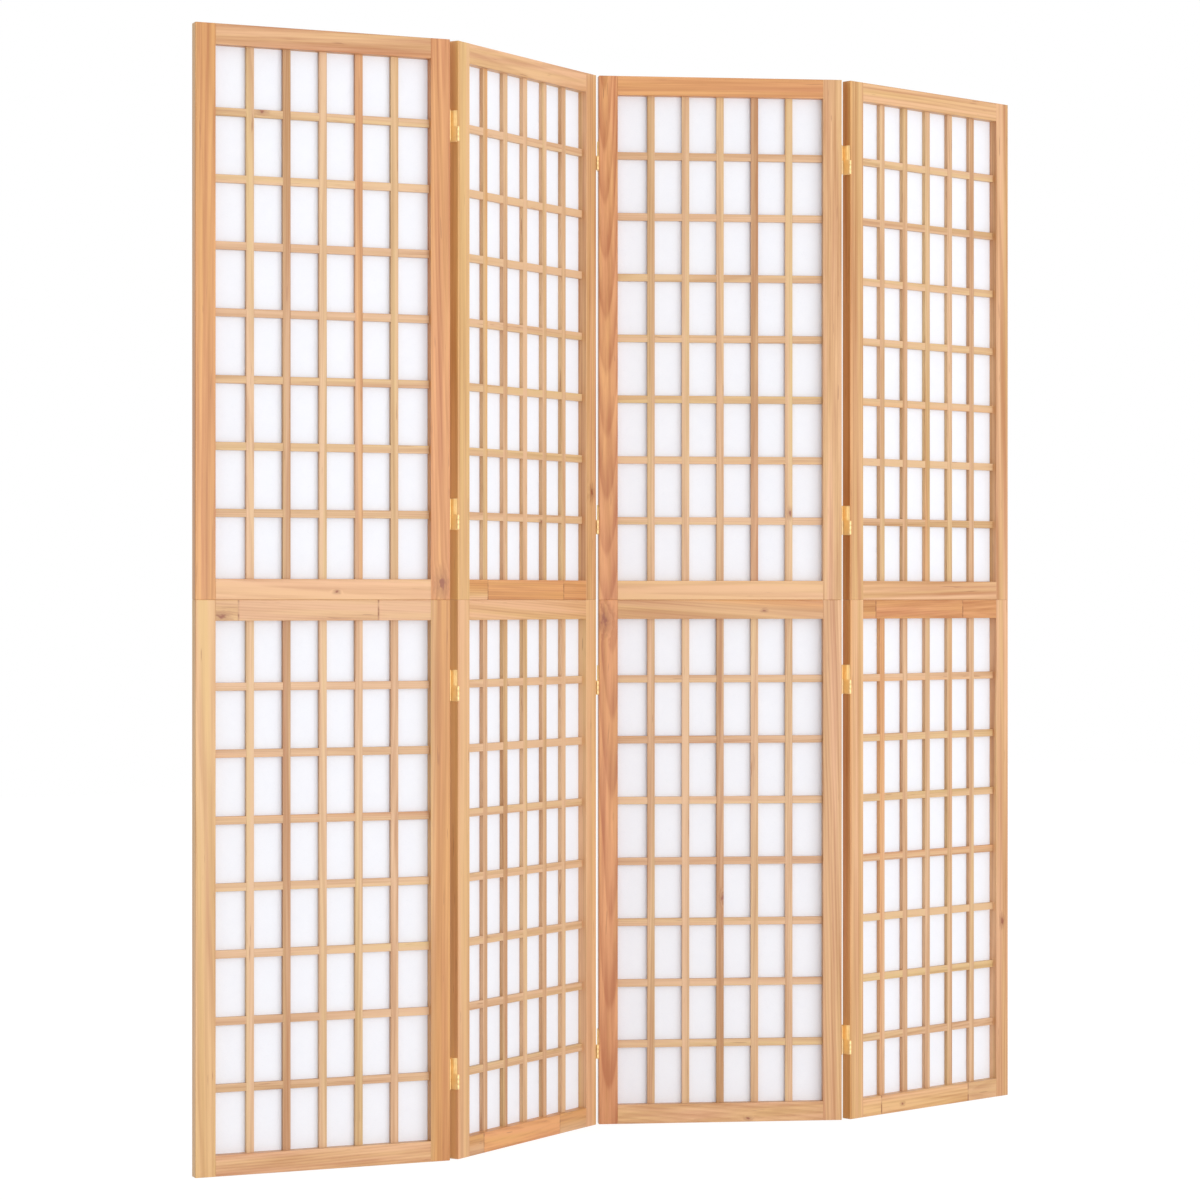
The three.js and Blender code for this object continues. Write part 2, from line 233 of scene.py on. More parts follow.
# %% [markdown]
# ## Lacquered fir
#
# The frames are planed fir under a thin clear satin lacquer. A plank is a cut through a trunk, and
# its grain is nothing but the year rings met at a slant. So the pattern here is a trunk, rings
# round a pith, and each stick carries its own coordinates in its own trunk, in the attribute
# `timber`. A face near the pith's plane then shows straight lines, one that grazes the rings shows
# long arches, and the ends show arcs, without painting any of them.
#
# A year ring starts pale and soft and ends in a thin, harder, darker band. Over it lie fine fibres,
# broad soft streaks that run far along the stick and turn from peach to ochre, an odd dark resin
# streak, and knots. The heartwood round the pith is more orange than the sapwood outside it. A knot
# is a branch that was grown over: a ragged reddish brown oval round which the rings bulge. `knot`
# tells how far each point is from the stick's knot, in knot radii, and how strongly the stick's
# rings show, and `tint` how light and how yellow the stick is. A few rails are glued end to end
# from shorter blocks, so there the trunk changes at each joint, which shows as a faint, ragged
# brown line.

# %% Wood
FRAME_SHADES, STRIP_SHADES = ("d6ab7f", "a96e3d"), ("d0ad84", "a57241")
KNOT_WOOD, RESIN = "843f24", "8a5029"
BLOCK = 219  # mm, how long the blocks of a jointed rail are
HEART_END = (0.056, 0.074)  # m from the pith: heartwood fades into sapwood between them
# What streaks and heartwood multiply the colour by.
PEACH, OCHRE, HEART = (1.03, 0.98, 1.03, 1), (0.98, 1.02, 0.80, 1), (1.0, 0.82, 0.63, 1)


def timber_material(name, ring_mm, shades=FRAME_SHADES, jointed=False):
    """Lacquered fir with year rings ring_mm apart, from a pale to a dark shade. When it is jointed,
    blocks are glued end to end with fingers, each from another place in the trunk."""
    material, tree = new_material(name)
    log, knot, tint = (add(tree, "Attribute", attribute_name=fact).outputs["Vector"]
                       for fact in ("timber", "knot", "tint"))
    tint = add(tree, "SeparateXYZ", [tint]).outputs

    # Fibres about a millimetre wide, the narrowest that show in a render.
    fine = add(tree, "VectorMath", [log, (950, 950, 14)], "MULTIPLY")
    fibres = add(tree, "TexNoise", {"Vector": fine, "Scale": 1, "Detail": 2, "Roughness": 0.6})
    if jointed:
        along = add(tree, "SeparateXYZ", [log]).outputs["Z"]
        wave = add(tree, "Math", [along, 1000 / BLOCK, tint["Z"]], "MULTIPLY_ADD")
        block = add(tree, "Math", [wave], "FLOOR")
        part = add(tree, "Math", [wave], "FRACT")
        chance = add(tree, "TexWhiteNoise", {"W": block}, noise_dimensions="1D").outputs
        shift = add(tree, "VectorMath", [chance["Color"], (0.05, 0.05, 0.9)], "MULTIPLY")
        # The line is ragged and comes and goes, because the fingers' ends lie unevenly deep.
        ragged = add(tree, "VectorMath", [log, (110, 110, 30)], "MULTIPLY")
        ragged = add(tree, "TexNoise", {"Vector": ragged, "Scale": 1, "Detail": 1})
        log = add(tree, "VectorMath", [log, shift], "ADD")
        from_joint = add(tree, "Math", [part, 0.5], "PINGPONG")
        line = add(tree, "MapRange", [from_joint, 0.3 / BLOCK, 2.0 / BLOCK, 1, 0])
        there = add(tree, "MapRange", [ragged, 0.38, 0.6, 0.2, 1])
        joint_line = add(tree, "Math", [line, there], "MULTIPLY")

    # Noises that fray knots and make rings uneven, soft streaks of 8 mm that darken, others of
    # 14 mm that turn from peach to ochre, and dashes of resin. Each has its cycles per metre across
    # and along the trunk, its detail and its roughness.
    frayed, uneven, streaks, hues, dashes = (
        add(tree, "TexNoise", {
            "Vector": add(tree, "VectorMath", [log, (across, across, along)], "MULTIPLY"),
            "Scale": 1, "Detail": detail, "Roughness": roughness})
        for across, along, detail, roughness in (
            (260, 130, 1, 0.5), (14, 2.2, 2, 0.45), (120, 2.6, 2, 0.5), (70, 1.7, 1, 0.5),
            (330, 17, 1, 0.5)))

    # Distance from the knot, and from it the halo in which the rings bulge, a reddish ring that
    # fades out, and the dark middle. Each has where it is full, where it ends, and its strength.
    push = add(tree, "VectorMath", [frayed.outputs["Color"], (2.2, 2.2, 0), (-1.1, -1.1, 0)],
               "MULTIPLY_ADD")
    flat_knot = add(tree, "VectorMath", [knot, (1, 1, 0), push], "MULTIPLY_ADD")
    knot_far = add(tree, "VectorMath", [flat_knot], "LENGTH")
    halo, blush, core = (
        add(tree, "MapRange", [knot_far, full, end, most, 0], interpolation_type="SMOOTHERSTEP")
        for full, end, most in ((0, 5, 1), (0.8, 4, 0.4), (0.3, 1.5, 0.85)))

    # Radius in the trunk: distance from the pith, made uneven by slow noise and by the knot.
    flat_log = add(tree, "VectorMath", [log, (1, 1, 0)], "MULTIPLY")
    radius = add(tree, "VectorMath", [flat_log], "LENGTH")
    wobble = add(tree, "Math", [uneven, 0.007, radius], "MULTIPLY_ADD")
    bulged = add(tree, "Math", [halo, 0.004, wobble], "MULTIPLY_ADD")
    year = add(tree, "Math", [bulged, 1000 / ring_mm], "MULTIPLY")
    season = add(tree, "Math", [year], "FRACT")
    darkening = add(tree, "MapRange", [season, 0.15, 0.85], interpolation_type="SMOOTHSTEP")
    new_year = add(tree, "MapRange", [season, 0.82, 1, 1, 0], interpolation_type="SMOOTHSTEP")
    late = add(tree, "Math", [darkening, new_year], "MULTIPLY")

    # How dark the ring, the streaks and the fibres make a point, from 0 to 1, about 0.35 in mean.
    contrast = add(tree, "SeparateXYZ", [knot]).outputs["Z"]
    ring_part = add(tree, "Math", [late, -0.4], "ADD")
    ring_part = add(tree, "Math", [ring_part, contrast, 0.35], "MULTIPLY_ADD")
    streak_part = add(tree, "MapRange", [streaks, 0.3, 0.7, -0.34, 0.34])
    fibre_part = add(tree, "MapRange", [fibres, 0.3, 0.7, -0.09, 0.09])
    dark_share = add(tree, "Math", [ring_part, streak_part], "ADD")
    dark_share = add(tree, "Math", [dark_share, fibre_part], "ADD")
    dark_share = add(tree, "Math", [dark_share, tint["X"]], "SUBTRACT", use_clamp=True)
    colour = add(tree, "Mix", {0: dark_share, 6: linear(shades[0]), 7: linear(shades[1])},
                 data_type="RGBA")

    # Over that colour lie layers, each with its share, its own colour and how it blends.
    ochre_share = add(tree, "MapRange", [hues, 0.3, 0.7, -0.45, 0.45])
    ochre_share = add(tree, "Math", [ochre_share, tint["Y"]], "ADD", use_clamp=True)
    hue = add(tree, "Mix", {0: ochre_share, 6: PEACH, 7: OCHRE}, data_type="RGBA")
    heart = add(tree, "MapRange", [wobble, *HEART_END, 1, 0], interpolation_type="SMOOTHERSTEP")
    resin = add(tree, "MapRange", [dashes, 0.71, 0.79, 0, 0.5], interpolation_type="SMOOTHERSTEP")
    layers = [(1, hue, "MULTIPLY"), (heart, HEART, "MULTIPLY"), (resin, linear(RESIN), "MIX")]
    if jointed:
        tone = add(tree, "MapRange", [chance["Value"], 0, 1, 0.9, 1.05])
        tone = add(tree, "CombineColor", [tone, tone, tone])
        layers += [(1, tone, "MULTIPLY"), (joint_line, linear(RESIN), "MIX")]
    layers += [(blush, linear(RESIN), "MIX"), (core, linear(KNOT_WOOD), "MIX")]
    for share, shade, blend in layers:
        colour = add(tree, "Mix", {0: share, 6: colour, 7: shade}, data_type="RGBA",
                     blend_type=blend)

    # The lacquer is a little duller over the soft early wood, and the hard rings stand up in it.
    gloss = add(tree, "MapRange", [dark_share, 0, 1, 0.5, 0.4])
    relief = add(tree, "Math", [fibres, 0.5, late], "MULTIPLY_ADD")
    bump = add(tree, "Bump", {"Strength": 0.35, "Distance": 0.05 * MM, "Height": relief})
    shader = add(tree, "BsdfPrincipled", {"Base Color": colour, "Roughness": gloss, "Normal": bump,
                 "IOR": 1.5, "Coat Weight": 0.15, "Coat Roughness": 0.3})
    add(tree, "OutputMaterial", {"Surface": shader})
    return material


plain_wood = timber_material("lacquered_fir", ring_mm=4.2)
jointed_wood = timber_material("finger_jointed_fir", ring_mm=3.6, jointed=True)
strip_wood = timber_material("lacquered_fir_strip", ring_mm=3.0, shades=STRIP_SHADES)
print("three kinds of wood, with", len(plain_wood.node_tree.nodes), "nodes in the first")

# %% [markdown]
# ## Every stick gets its own place in a trunk
#
# A joiner's pile holds sticks from many trees. So a seeded draw gives each stick a pith somewhere
# beside it, at a random angle and a little out of parallel, which is what turns straight grain
# into arches. A few sticks are listed one by one because they stand out in the photograph: the
# third panel's left stiles are redder, with long arches that point down, and the second and fourth
# panels' left stiles turn from red heartwood at their outer edge to pale sapwood. That red outer
# edge faces into the gap at the hinges, and is painted shade for that gap.

# %% Grain of a stick
draw = np.random.default_rng(7)

# Lightness and yellowness that are added to a stick's own, by panel, half and side.
STANDING_OUT = {
    (1, "upper", "left"): (-0.12, 0.1), (1, "upper", "right"): (-0.2, 0.3),
    (1, "lower", "left"): (0.15, 0.2), (1, "lower", "right"): (0, 0.8),
    (1, "upper", "bottom"): (0.2, 0), (2, "upper", "left"): (0.3, 0.4),
    (2, "lower", "left"): (0.25, 0), (2, "upper", "right"): (-0.05, 0.1),
    (2, "lower", "right"): (0.3, 0.15),
    (3, "upper", "left"): (-0.15, 0), (3, "upper", "right"): (-0.1, 0),
    (3, "lower", "right"): (-0.15, 0), (3, "upper", "bottom"): (0.4, 0.2),
    (3, "lower", "top"): (0.2, 0.1), (4, "upper", "left"): (0.1, 0.2),
    (4, "lower", "left"): (0.1, 0.1), (4, "upper", "right"): (0, 0.1),
}
# Knots that are listed: how far along the stick, how far across it, and its radius, in mm.
SET_KNOTS = {
    (1, "upper", "right"): (24, 14, 5), (1, "upper", "bottom"): (188, 12, 1.6),
    (1, "lower", "top"): (9, 25, 3.5), (2, "upper", "right"): (172, 14, 3.5),
    (3, "lower", "left"): (817, 10, 5), (4, "lower", "right"): (300, 16, 3),
}
# Grain that is given, with painted shade on a few stiles: turn and bearing in degrees, distance
# from the pith in mm, slant.
SET_GRAIN_AND_PAINTED_SHADE = {
    (3, "upper", "left"): (0, 90, 64, (8, -46)), (3, "lower", "left"): (0, 90, 66, (-8, -30)),
    # Left stiles of the second and fourth panels: the red heartwood at the outer edge, which faces
    # into the gap at the hinges, is painted shade for that gap.
    (2, "upper", "left"): (0, 0, 75, (0, 0)), (2, "lower", "left"): (0, 10, 77, (2, 0)),
    (4, "upper", "left"): (0, -5, 73, (1, 2)), (4, "lower", "left"): (0, 0, 75, (-2, 0)),
    (1, "lower", "right"): (40, 20, 46, (6, 4)), (1, "upper", "bottom"): (100, 200, 95, (10, 25)),
    (3, "lower", "top"): (0, 0, 86, (-75, 0)), (4, "upper", "right"): (200, 100, 88, (5, 8)),
}
# Rails on which joints between blocks can be seen, and where one of the joints is, in mm.
JOINTED = {(1, "lower", "top"): 254, (2, "upper", "bottom"): 51, (2, "lower", "bottom"): 40,
           (4, "lower", "top"): 250, (4, "lower", "bottom"): 45}
ARCHED, STRAIGHT = 30, 12  # typical slants, in mm per m
FARTHEST, TRUNK_LENGTH = 115, 9000  # mm from the pith, and along it
MEAN_YELLOW, LIGHT_SPREAD, YELLOW_SPREAD = 0.4, 0.12, 0.15
SOFT_RINGS = (0.1, 0.32)  # how strongly the rings show on most sticks, from least to most
BOLD_RINGS, BOLD_SLANT = 0.42, -20  # and where a listed slant is steep
KNOT_STRETCH, NO_KNOT = 1.8, 99.0  # how much longer than wide a knot is, and a place far from any


def grain(stick, lean, key=None, knot_chance=0.0, size=(FRAME_WIDTH, PANEL_THICKNESS),
          extra=(0.0, 0.0), nearest=25):
    """The wood's facts at the points of a stick, given in its own axes (across, deep, along) in
    millimetres. The place in the trunk is the stick's own place, from the middle of its section,
    turned about its length, moved away from the pith, and sheared by about lean millimetres per
    metre, so that it isn't parallel to the pith. It lies nearest or more millimetres from the
    pith. extra is added to its lightness and yellowness."""
    turn, bearing = draw.uniform(0, 2 * np.pi, 2)
    far = draw.uniform(nearest, FARTHEST)
    slant = draw.normal(0, lean, 2)
    along_trunk = draw.uniform(0, TRUNK_LENGTH)
    if key in SET_GRAIN_AND_PAINTED_SHADE:
        turn, bearing = np.radians(SET_GRAIN_AND_PAINTED_SHADE[key][:2])
        far, slant = SET_GRAIN_AND_PAINTED_SHADE[key][2:]
    c, s = np.cos(turn), np.sin(turn)
    across, deep, along = stick[..., 0] - size[0] / 2, stick[..., 1] - size[1] / 2, stick[..., 2]
    trunk = np.stack([
        c * across - s * deep + far * np.cos(bearing) + slant[0] * along * MM,
        s * across + c * deep + far * np.sin(bearing) + slant[1] * along * MM,
        along + along_trunk,
    ], axis=-1) * MM
    lightness = draw.normal(extra[0], LIGHT_SPREAD)
    yellow = draw.normal(MEAN_YELLOW + extra[1], YELLOW_SPREAD)
    set_light, set_yellow = STANDING_OUT.get(key, (0.0, 0.0))
    first_joint = -(along_trunk + JOINTED.get(key, 0)) / BLOCK % 1
    tint = np.array([lightness + set_light, yellow + set_yellow, first_joint])
    bold = key in SET_GRAIN_AND_PAINTED_SHADE and slant[1] < BOLD_SLANT
    rings_show = BOLD_RINGS if bold else draw.uniform(*SOFT_RINGS)
    place, radius = draw.uniform(0.08, 0.92, 2), draw.uniform(1.2, 2.4)
    has_knot = draw.uniform() < knot_chance
    at, offset, radius = SET_KNOTS.get(key, (place[0] * np.ptp(along), place[1] * size[0], radius))
    knot = np.full(stick.shape, NO_KNOT)
    if has_knot or key in SET_KNOTS:
        knot[..., 0] = (along - at) / (KNOT_STRETCH * radius)
        knot[..., 1] = (stick[..., 0] - offset) / radius
    knot[..., 2] = rings_show
    return {"timber": trunk, "knot": knot, "tint": np.broadcast_to(tint, stick.shape)}


print("hand-set sticks:", len(STANDING_OUT), "and knots:", len(SET_KNOTS))

# %% [markdown]
# ## Stiles and rails
#
# A stile is the upright of a frame and a rail its level piece. Both are 31 by 18 mm and are planed
# to one section: outer arrises eased with sandpaper, a rebate along the inner back edge that takes
# the paper, and notches along the inner face that take the ends of the strips. The stiles run the
# full height and the rails are glued between them.
#
# Cutting notches out of a block by boolean would work, but it leaves ragged faces. Carrying the
# section along the stick, with two stations at every side of a notch, gives the same solid with
# clean faces. A stile's rebate stops short of its ends, where the rails' rebates take over.

# %% Section of a frame member
OUTER_EASING, INNER_EASING, END_EASING, BUTT_EASING = 1.2, 0.5, 0.7, 0.35
LEAST_EASING = 0.05  # what is left of an easing where the whole outline is drawn in
NOTCH_PLAY = 0.08


def rounded(x, y, radius, start, steps=3):
    """Points of a quarter round with its centre at (x, y), from the angle start, in degrees,
    on: centre + radius times (cos, sin). x, y and radius may differ from station to station."""
    angles = np.radians(start + np.linspace(0, 90, steps + 1))
    return np.stack([x[:, None] + radius[:, None] * np.cos(angles),
                     y[:, None] + radius[:, None] * np.sin(angles)], axis=-1)


def frame_section(notch, rebate, inset):
    """Sections of a stile or rail, as (across, deep), one for each station: across runs from the
    outer edge at 0 to the opening at 31, deep from the front at 0 to the back at 18. The opening's
    side steps in by notch at the lattice's front, and by rebate at the lattice's back. inset draws
    the whole outline in, which eases the stick's ends."""
    outer = np.maximum(OUTER_EASING - inset, LEAST_EASING)
    inner = np.maximum(INNER_EASING - inset, LEAST_EASING)
    near, far = inset, FRAME_WIDTH - inset
    front, back = inset, PANEL_THICKNESS - inset
    floor = LATTICE_BACK - inset
    mouth = np.full_like(inset, LATTICE_FRONT - NOTCH_PLAY)
    lap = far - rebate
    corner = [np.stack(pair, axis=-1)[:, None] for pair in (
        (far, mouth), (far - notch, mouth), (far - notch, floor), (lap, floor))]
    return np.concatenate([
        rounded(near + outer, front + outer, outer, 180),
        rounded(far - inner, front + inner, inner, 270),
        *corner,
        rounded(lap - inner, back - inner, inner, 0),
        rounded(near + outer, back - outer, outer, 90),
    ], axis=1)


def stepped(spans, play):
    """Stations at the sides of spans that are widened by play: rows of (along, step), where the
    step is 0 outside a span and 1 inside."""
    return np.array([[(a - play, 0), (a - play, 1), (b + play, 1), (b + play, 0)]
                     for a, b in spans]).reshape(-1, 2)


def frame_stations(length, spans, easing, rebate_stop):
    """Rows of (along, notch, rebate, inset) for a stick that is notched over spans. A quarter
    round of three stations eases each end, and the far end mirrors the near one."""
    rebate = 0.0 if rebate_stop else REBATE_LAP
    start = [(easing * (1 - np.cos(a)), 0, rebate, easing * (1 - np.sin(a)))
             for a in np.radians([0, 45, 90])]
    if rebate_stop:
        start += [(rebate_stop, 0, 0, 0), (rebate_stop, 0, REBATE_LAP, 0)]
    start = np.array(start)
    end = start[::-1] * (-1, 1, 1, 1) + (length, 0, 0, 0)
    notches = stepped(spans, NOTCH_PLAY)[:, [0, 1, 1, 1]] * (1, REBATE_LAP, 0, 0)
    return np.concatenate([start, notches + (0, 0, REBATE_LAP, 0), end])


def stick_rings(section, along):
    """Rings in a stick's own axes (across, deep, along) from its sections and their places."""
    places = np.broadcast_to(along[:, None, None], (*section.shape[:2], 1))
    return np.concatenate([section, places], axis=-1)


print("points in a frame member's section:", frame_section(*np.zeros((3, 1))).shape[1])

# %% Stiles and rails of the eight halves
X, Y, Z = np.eye(3)


def wooden(label, number, half, part, rings, axes, corner, facts, material):
    """Lays a stick in one half of a panel, as a piece of its frame or lattice: the corner plus
    across, deep and along times the axes. Axes that mirror the stick turn its rings round."""
    axes = np.array(axes, float)
    way = 1 if np.linalg.det(axes) > 0 else -1
    laid = (rings @ axes + corner)[:, ::way]
    facts = {key: values[:, ::way] for key, values in facts.items()}
    half_panel = f"panel_{number}_{half}"
    mesh = new_mesh(f"{half_panel}_{label}", turned(laid, *PANEL_PLACES[number], *HALVES[half]),
                    skin(laid), facts)
    put(mesh, f"panel_{number}", material, f"{half_panel}_{part}")


stile_table = frame_stations(HALF_HEIGHT, FRAME_WIDTH + LEVEL_SPANS, END_EASING,
                             FRAME_WIDTH - REBATE_LAP)
rail_table = frame_stations(OPENING_WIDTH, UPRIGHT_SPANS, BUTT_EASING, 0.0)
stile_rings = stick_rings(frame_section(*stile_table[:, 1:].T), stile_table[:, 0])
rail_rings = stick_rings(frame_section(*rail_table[:, 1:].T), rail_table[:, 0])

for number, half in HALF_PANELS:
    for side, edge, inwards in (("left", 0, X), ("right", PANEL_WIDTH, -X)):
        facts = grain(stile_rings, STRAIGHT, (number, half, side), knot_chance=0.1)
        wooden(f"{side}_stile", number, half, "frame", stile_rings, (inwards, Y, Z),
               (edge, 0, 0), facts, plain_wood)
    for side, edge, inwards in (("bottom", 0, Z), ("top", HALF_HEIGHT, -Z)):
        key = (number, half, side)
        facts = grain(rail_rings, ARCHED, key, knot_chance=0.2)
        wooden(f"{side}_rail", number, half, "frame", rail_rings, (inwards, Y, X),
               (FRAME_WIDTH, 0, edge), facts, jointed_wood if key in JOINTED else plain_wood)
print(len(pieces), "stiles and rails, open edges:", open_edges)

# %% [markdown]
# ## The lattice
#
# The strips are 12 by 7 mm, half-lapped where they cross. In the photograph the upright strips
# run unbroken over every crossing, so the level ones are notched in front and the upright ones
# behind, each to half its depth, and the lattice is flush on both sides. The sections are
# stepped as on the stiles: the notched stations have their front or back moved to mid depth.

# %% Strips
STRIP_EASING = 0.4
MID_DEPTH = (LATTICE_FRONT + LATTICE_BACK) / 2
LAP_PLAY = 0.05


def strip_section(front, back, waist):
    """Sections of a strip, as (across, deep): a rectangle from 0 to 12 and from front to back with
    its corners rounded, and one more point on each side, at the depth waist, for the laps."""
    r = np.full_like(front, STRIP_EASING)
    zero, wide = np.zeros_like(front), np.full_like(front, STRIP_WIDTH)
    at_waist = [np.stack([x, np.full_like(front, waist)], axis=-1)[:, None] for x in (wide, zero)]
    return np.concatenate([
        rounded(r, front + r, r, 180, 2), rounded(wide - r, front + r, r, 270, 2), at_waist[0],
        rounded(wide - r, back - r, r, 0, 2), rounded(r, back - r, r, 90, 2), at_waist[1],
    ], axis=1)


def strip_rings(length, spans, lapped):
    """Rings of a strip with laps over spans, cut into its front or its back."""
    table = np.concatenate([[[0, 0]], stepped(spans, LAP_PLAY), [[length, 0]]])
    lap = table[:, 1] * (MID_DEPTH - LATTICE_FRONT)
    in_front, behind = (lap, 0 * lap) if lapped == "front" else (0 * lap, lap)
    waist = MID_DEPTH + (STRIP_EASING if lapped == "front" else -STRIP_EASING)
    section = strip_section(LATTICE_FRONT + in_front, LATTICE_BACK - behind, waist)
    return stick_rings(section, table[:, 0])


upright_rings = strip_rings(OPENING_HEIGHT + 2 * STRIP_LET_IN, LEVEL_SPANS + STRIP_LET_IN, "back")
level_rings = strip_rings(OPENING_WIDTH + 2 * STRIP_LET_IN, UPRIGHT_SPANS + STRIP_LET_IN, "front")
print("stations of an upright strip:", len(upright_rings), "and of a level one:", len(level_rings))

# %% The strips of the eight lattices
BEHIND_FRAME = FRAME_WIDTH - STRIP_LET_IN
STRIP_SIZE = (STRIP_WIDTH, 2 * MID_DEPTH)  # twice the middle of a strip's section
STRIP_NEAREST = 60  # mm from the pith: strips are mostly ripped from the pale outer wood
STRIP_YELLOW = -0.2  # and they are a little less yellow
# Lightness added to strips that stand out: a few uprights are clearly more orange than the rest.
# The level strips of the second and fourth panels are made paler: a painted highlight for the
# light that falls on them there.
UPRIGHT_TONE = 0.05
ORANGE_UPRIGHTS = {(1, "lower", 2): -0.4, (1, "upper", 2): -0.4, (1, "upper", 5): -0.2,
                   (3, "lower", 3): -0.35, (3, "upper", 4): -0.3}
# On the second and fourth panels, the level strips' extra lightness is a painted highlight.
LEVEL_TONES_AND_PAINTED_LIGHT = {1: 0.05, 2: 0.3, 3: 0.05, 4: 0.25}

for number, half in HALF_PANELS:
    for kind, rings, spans, axes in (("upright", upright_rings, UPRIGHT_SPANS, (X, Y, Z)),
                                     ("level", level_rings, LEVEL_SPANS, (Z, Y, X))):
        for count, (start, _) in enumerate(spans, 1):
            tone = LEVEL_TONES_AND_PAINTED_LIGHT[number]
            if kind == "upright":
                tone = ORANGE_UPRIGHTS.get((number, half, count), UPRIGHT_TONE)
            facts = grain(rings, STRAIGHT, knot_chance=0.05, size=STRIP_SIZE,
                          extra=(tone, STRIP_YELLOW), nearest=STRIP_NEAREST)
            corner = (FRAME_WIDTH + start) * axes[0] + BEHIND_FRAME * axes[2]
            wooden(f"{kind}_{count}", number, half, "lattice", rings, axes, corner, facts,
                   strip_wood)
print(len(pieces), "sticks in all, open edges:", open_edges)

# %% [markdown]
# ## Paper
#
# The paper is a white sheet glued to the backs of the strips and into the frame's rebate. Such
# screen paper is made of long plant fibres, often with a thin plastic film, and it lets some light
# through: from behind, the lattice shows in it as a pale shadow. So its shader is mostly a matt
# white that sends light back, mixed with one that passes it on. Fibres and cloudiness are only just
# there, as on the real sheet.

# %% Paper material
PAPER_WHITE, PAPER_CLOUD, PAPER_FIBRE = "f6f7fb", "f3f4f9", "edeef3"
LET_THROUGH = 0.25  # of what the paper doesn't absorb

screen_paper, tree = new_material("long_fibre_screen_paper")
place = add(tree, "TexCoord").outputs["Object"]
clouds = add(tree, "TexNoise", {"Vector": place, "Scale": 60, "Detail": 3})
# Fibres follow the lines along which a noise has its middle value, a few tenths of a millimetre
# wide on the real sheet, and drawn about twice as wide here.
fibre_noise = add(tree, "TexNoise", {"Vector": place, "Scale": 190, "Detail": 1, "Distortion": 1.5})
on_line = add(tree, "Math", [fibre_noise, 0.5, 0.02], "COMPARE")
fibre_share = add(tree, "Math", [on_line, 0.35], "MULTIPLY")
paper_colour = linear(PAPER_WHITE)
for share, shade in ((clouds, PAPER_CLOUD), (fibre_share, PAPER_FIBRE)):
    paper_colour = add(tree, "Mix", {0: share, 6: paper_colour, 7: linear(shade)}, data_type="RGBA")
bump = add(tree, "Bump", {"Strength": 0.15, "Distance": 0.05 * MM, "Height": fibre_noise})
matt = add(tree, "BsdfPrincipled", {"Base Color": paper_colour, "Roughness": 0.75, "Normal": bump,
           "IOR": 1.45})
glow = add(tree, "BsdfTranslucent", {"Color": paper_colour})
sheet_shader = add(tree, "MixShader", [LET_THROUGH, matt, glow])
add(tree, "OutputMaterial", {"Surface": sheet_shader})
print("paper lets", 100 * LET_THROUGH, "% of what it doesn't absorb through")

# %% [markdown]
# The sheet was cut to 347 by 797 mm and stretched flat while the glue was wet. It is held along
# every strip and free between them, where a dry sheet is slack by a hair. The surface is a grid
# over the sheet whose depth is that hair: nothing on the strips, and a shallow dome in each cell.

# %% Paper sheets
PAPER_SIZE = (347.0, 797.0)
PAPER_FRONT, SHEET_THICKNESS, SLACK = 15.12, 0.2, 0.25
CELL_STEPS = 7  # grid lines in each cell, the ones on its strips included


def sheet_lines(opening, spans, size, steps=CELL_STEPS):
    """Grid lines across a sheet, and how far into its cell each one is, from 0 at a strip to 1 in
    the middle, as the sine of its share of the cell."""
    margin = (size - opening) / 2
    edges = np.concatenate([[-margin, 0], spans.ravel(), [opening, opening + margin]])
    cells = edges[1:-1].reshape(-1, 2)
    share = np.linspace(0, 1, steps)
    lines = cells[:, :1] + (cells[:, 1:] - cells[:, :1]) * share
    lift = np.broadcast_to(np.sin(np.pi * share), lines.shape)
    return (np.concatenate([[-margin], lines.ravel(), [opening + margin]]),
            np.concatenate([[0], lift.ravel(), [0]]))


across, across_lift = sheet_lines(OPENING_WIDTH, UPRIGHT_SPANS, PAPER_SIZE[0])
up, up_lift = sheet_lines(OPENING_HEIGHT, LEVEL_SPANS, PAPER_SIZE[1])

for number, half in HALF_PANELS:
    half_panel = f"panel_{number}_{half}"
    cells = (len(up) // CELL_STEPS, len(across) // CELL_STEPS)
    cell_slack = SLACK * draw.uniform(0.4, 1.0, cells)
    slack = np.pad(np.kron(cell_slack, np.ones((CELL_STEPS, CELL_STEPS))), 1)
    depth = PAPER_FRONT + SHEET_THICKNESS / 2 + slack * up_lift[:, None] * across_lift
    gx, gz = np.meshgrid(across + FRAME_WIDTH, up + FRAME_WIDTH)
    points = np.stack([gx, depth, gz], axis=-1)
    index = np.arange(depth.size).reshape(depth.shape)
    faces = np.stack([index[:-1, :-1], index[:-1, 1:], index[1:, 1:], index[1:, :-1]], -1)
    mesh = new_mesh(f"{half_panel}_sheet", turned(points, *PANEL_PLACES[number], *HALVES[half]),
                    faces.reshape(-1, 4).tolist(), smooth=True, closed=False)
    sheet = put(mesh, f"panel_{number}", screen_paper, f"{half_panel}_paper")
    thick = sheet.modifiers.new("thickness", "SOLIDIFY")
    thick.thickness, thick.offset = SHEET_THICKNESS * MM, 0
print("paper grid:", depth.shape, "points, slack up to", SLACK, "mm")

# %% [markdown]
# ## Brass hinges
#
# A hinge is pressed from sheet 1 mm thick and plated with satin brass under a hazy lacquer, so part
# of what it sends back is scattered. Each leaf starts as a flat blank with tabs, and the tabs are
# rolled round a pin into knuckles. The hinge folds both ways because a loose link sits between the
# leaves: its upper half is rolled round a pin at the back of the panels, and its lower half round
# one at the front.
#
# The shape here is made the same way. A blank is a grid, with one direction along the sheet's
# middle line and the other up it. Cells outside the blank's outline are left out, the middle line
# bends round the pin, and a Solidify modifier gives the sheet its thickness.

# %% Brass material
BRASS, BRASS_DULL = "f9dda4", "ecc988"

plated, tree = new_material("satin_brass_plate")
place = add(tree, "TexCoord").outputs["Object"]
